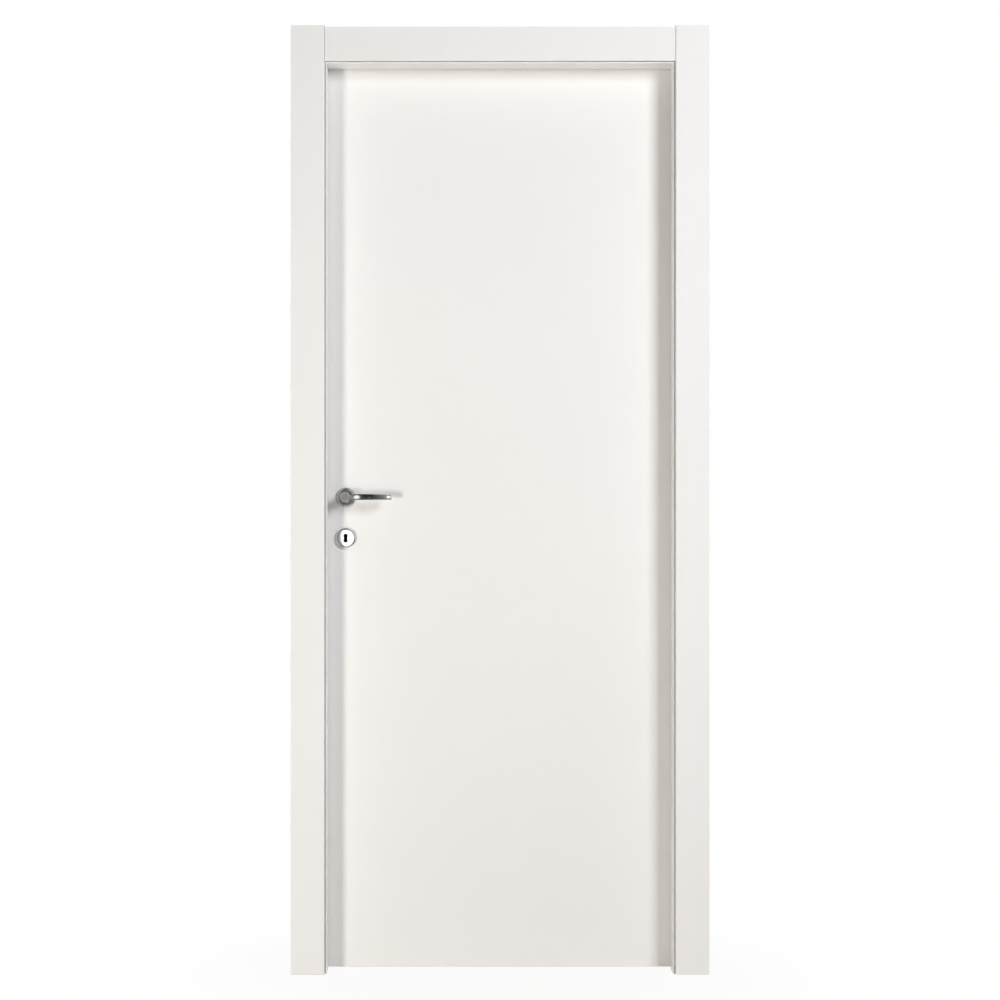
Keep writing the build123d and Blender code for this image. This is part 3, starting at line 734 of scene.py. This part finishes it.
class DOOR_OT_stage(bpy.types.Operator):
    """Set up the floor, the white surroundings, the dark cards that the chrome mirrors, lamps and camera"""

    bl_idname = "door.stage"
    bl_label = "Studio"

    def execute(self, context):
        scene = context.scene
        settings = scene.door_stage
        scene.view_settings.view_transform = "Standard"
        self.surroundings(scene, settings.ambient)
        self.floor(settings.floor_shade)
        self.cards()
        self.lamps(settings)
        camera = bpy.data.objects.new("camera", bpy.data.cameras.new("camera"))
        scene.collection.objects.link(camera)
        camera.location = settings.camera_place
        camera.rotation_euler = (math.pi / 2, 0, 0)
        camera.data.lens = settings.lens
        camera.data.shift_x, camera.data.shift_y = settings.shift
        scene.camera = camera
        return {"FINISHED"}

    def lamps(self, settings):
        """Two soft lamps before the door, four that glint on the chrome, and two behind the door."""
        aim_height = 1.1
        middle = Vector((OPENING_X, 0, aim_height))
        cool, warm = (0.97, 0.99, 1.02), (1.0, 0.96, 0.91)
        key = self.lamp("key_lamp", (1.78, -3.2, 2.7), middle, (1.2, 1.7), settings.key_power, cool)
        fill = self.lamp("fill_lamp", (-2.55, -3.0, 0.5), middle, (0.6, 0.8), settings.fill_power, warm)
        key.visible_glossy = False
        fill.visible_glossy = False

        handle = Vector((HANDLE_X, LEAF_PUSH_Y, HANDLE_Z))
        glint = settings.glint
        disc = "ELLIPSE"
        self.lamp("keyhole_glint", (-1.073, -6.2, 1.021), handle, (0.13, 0.13), 0.076 * glint, shape=disc)
        self.lamp("keyhole_halo", (-1.13, -6.3, 1.0), handle, (0.3, 0.3), 0.08 * glint)
        self.lamp("root_glint", (-2.75, -3.50, 1.18), handle, (0.85, 1.7), 5.0 * glint, shape=disc)
        self.lamp("tip_glint", (1.44, -3.41, 1.18), handle, (0.44, 1.0), 2.2 * glint)

        self.lamp("back_key_lamp", (-2.6, 3.4, 2.6), middle, (0.8, 0.8), settings.back_power)
        self.lamp("back_fill_lamp", (1.9, 3.4, 1.0), middle, (0.8, 1.2), settings.back_power / 2)

    def seen_directly(self, make):
        """1 for rays that show the surroundings: camera, mirror and glass rays."""
        path = make.node("ShaderNodeLightPath", output="Is Camera Ray")
        outputs = path.socket.node.outputs
        return path | Socket(make, outputs["Is Glossy Ray"]) | Socket(make, outputs["Is Transmission Ray"])

    def surroundings(self, scene, ambient):
        """White all round, which lights the object only softly."""
        scene.world = bpy.data.worlds.new("white_studio")
        make = Shader(scene.world)
        dim = make.node("ShaderNodeBackground", sockets={"Color": (1, 1, 1, 1), "Strength": ambient})
        white = make.node("ShaderNodeBackground", sockets={"Color": (1, 1, 1, 1), "Strength": 1.0})
        mixed = make.node("ShaderNodeMixShader", sockets={0: self.seen_directly(make), 1: dim, 2: white})
        make.node("ShaderNodeOutputWorld", sockets={"Surface": mixed})

    def floor(self, shade):
        """A plain floor that shows a share of the door's shadow and fades to pure white away from it."""
        fade_radius, reach = 0.8, 14.0
        make = Shader(bpy.data.materials.new("studio_floor"))
        paint = make.node("ShaderNodeBsdfDiffuse", sockets={"Color": (0.72, 0.67, 0.60, 1)})
        glow = make.node("ShaderNodeEmission", sockets={"Color": (1, 1, 1, 1), "Strength": 1.0})
        x, y, _ = make.axes(make.place())
        fade = 1 - ((x - OPENING_X) * (x - OPENING_X) + y * y) * (1 / fade_radius**2)
        factor = (1 - shade * (fade | 0.0)) * self.seen_directly(make)
        mixed = make.node("ShaderNodeMixShader", sockets={0: factor, 1: paint, 2: glow})
        make.node("ShaderNodeOutputMaterial", sockets={"Surface": mixed})
        corners = np.array([(-1, -1, 0), (1, -1, 0), (1, 1, 0), (-1, 1, 0)], float) * reach
        new_piece("floor", corners, [np.arange(4)], make.owner)

    def cards(self):
        """Dark tents before and behind the door, which only mirror-like surfaces show.

        A tent is swept round the door's middle from left to right: its section runs out along the floor,
        up a wall and back along a ceiling. It is lighter along the floor, to the right and behind the door.
        """
        near, far, low, high, floor_top = 1.0, 6.5, 0.004, 9.0, 0.1
        darkest, floor_lift, back_lift, lighter_from = 0.03, 0.12, 0.3, OPENING_X - 0.3
        make = Shader(bpy.data.materials.new("dark_card"))
        x, y, z = make.axes(make.place())
        rightward = (x - lighter_from) | 0.0
        level = darkest + floor_lift * (z < floor_top) + back_lift * (y > 0) + rightward * (0.05 + 0.02 * z)
        dark = make.node("ShaderNodeEmission", sockets={"Color": (1, 1, 1, 1), "Strength": 0.0})
        white = make.node("ShaderNodeEmission", sockets={"Color": (1, 1, 1, 1), "Strength": 1.0})
        mixed = make.node("ShaderNodeMixShader", sockets={0: level, 1: dark, 2: white})
        make.node("ShaderNodeOutputMaterial", sockets={"Surface": mixed})
        section = np.array([(near, low), (far, low), (far, high), (near, high)])
        turn = np.radians(np.linspace(-85, 85, 35))[:, None]
        reach = section[None, :, 0]
        across, outward = reach * np.sin(turn), reach * np.cos(turn)
        height = np.broadcast_to(section[None, :, 1], across.shape)
        faces = grid_faces(len(turn), len(section))
        for name, side in (("front_card", -1), ("back_card", 1)):
            points = np.stack([OPENING_X + across, side * outward, height], axis=-1)
            card = new_piece(name, points, faces, make.owner)
            card.visible_camera = False
            card.visible_diffuse = False
            card.visible_shadow = False
            card.visible_transmission = False

    def lamp(self, name, place, target, size, power, colour=(1.0, 1.0, 1.0), shape="RECTANGLE"):
        """A soft lamp aimed at a point."""
        light = bpy.data.lights.new(name, "AREA")
        light.shape = shape
        light.size, light.size_y = size
        light.energy = power
        light.color = colour
        lamp = bpy.data.objects.new(name, light)
        bpy.context.scene.collection.objects.link(lamp)
        lamp.location = place
        lamp.rotation_euler = (target - Vector(place)).to_track_quat("-Z", "Y").to_euler()
        lamp.visible_camera = False
        return lamp


OPERATORS = (
    DOOR_OT_leaf,
    DOOR_OT_frame,
    DOOR_OT_seals,
    DOOR_OT_handles,
    DOOR_OT_lock,
    DOOR_OT_hinges,
    DOOR_OT_stage,
)
SETTINGS = {
    "door_lacquer": LacquerSettings,
    "door_metal": MetalSettings,
    "door_fittings": FittingSettings,
    "door_stage": StageSettings,
}


class DOOR_PT_sidebar(bpy.types.Panel):
    """Lists the pieces of the door and their settings"""

    bl_label = "Interior door"
    bl_idname = "DOOR_PT_sidebar"
    bl_space_type = "VIEW_3D"
    bl_region_type = "UI"
    bl_category = "Door"

    def draw(self, context):
        for operator in OPERATORS:
            self.layout.operator(operator.bl_idname)
        for group in SETTINGS:
            box = self.layout.box()
            owner = getattr(context.scene, group)
            for name in owner.__annotations__:
                box.prop(owner, name)


def register():
    """Adds the settings, operators and panel to Blender."""
    for group in SETTINGS.values():
        bpy.utils.register_class(group)
    for name, group in SETTINGS.items():
        setattr(bpy.types.Scene, name, PointerProperty(type=group))
    for operator in OPERATORS:
        bpy.utils.register_class(operator)
    bpy.utils.register_class(DOOR_PT_sidebar)


def unregister():
    """Takes them away again."""
    bpy.utils.unregister_class(DOOR_PT_sidebar)
    for operator in reversed(OPERATORS):
        bpy.utils.unregister_class(operator)
    for name in SETTINGS:
        delattr(bpy.types.Scene, name)
    for group in SETTINGS.values():
        bpy.utils.unregister_class(group)


def main():
    """Makes every piece and the studio."""
    register()
    bpy.ops.door.leaf()
    bpy.ops.door.frame()
    bpy.ops.door.seals()
    bpy.ops.door.handles()
    bpy.ops.door.lock()
    bpy.ops.door.hinges()
    bpy.ops.door.stage()


if __name__ == "__main__":
    main()
